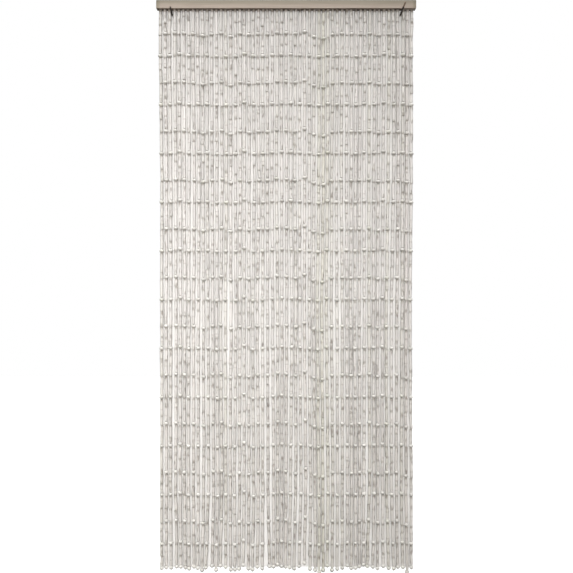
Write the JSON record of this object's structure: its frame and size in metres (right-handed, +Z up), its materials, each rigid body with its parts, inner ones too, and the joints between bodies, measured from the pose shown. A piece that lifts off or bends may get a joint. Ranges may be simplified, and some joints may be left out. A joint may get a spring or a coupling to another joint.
{
  "type": "bamboo door curtain on a wooden rail with wire hooks",
  "caption": "Door curtain of bamboo strings with round beads at alternating heights, hung side by side under a wooden rail that lies in two bent wire hooks.",
  "frame": {"origin": "centre of the rail's back face, which lies against the wall or door frame", "axes": "+Z up, +X along the rail to the right as seen from the front, +Y towards the wall; the front of the curtain faces -Y"},
  "size_m": [0.904, 0.0408, 1.9999],
  "materials": {
    "rail_wood": "satin",
    "bamboo": "matte",
    "bead": "satin",
    "cord": "matte",
    "wire": "satin"
  },
  "bodies": {
    "root": {"rail": "rail_wood", "strings_left": "bamboo", "strings_right": "bamboo", "hook_left": "wire", "hook_right": "wire"}
  },
  "joints": []
}
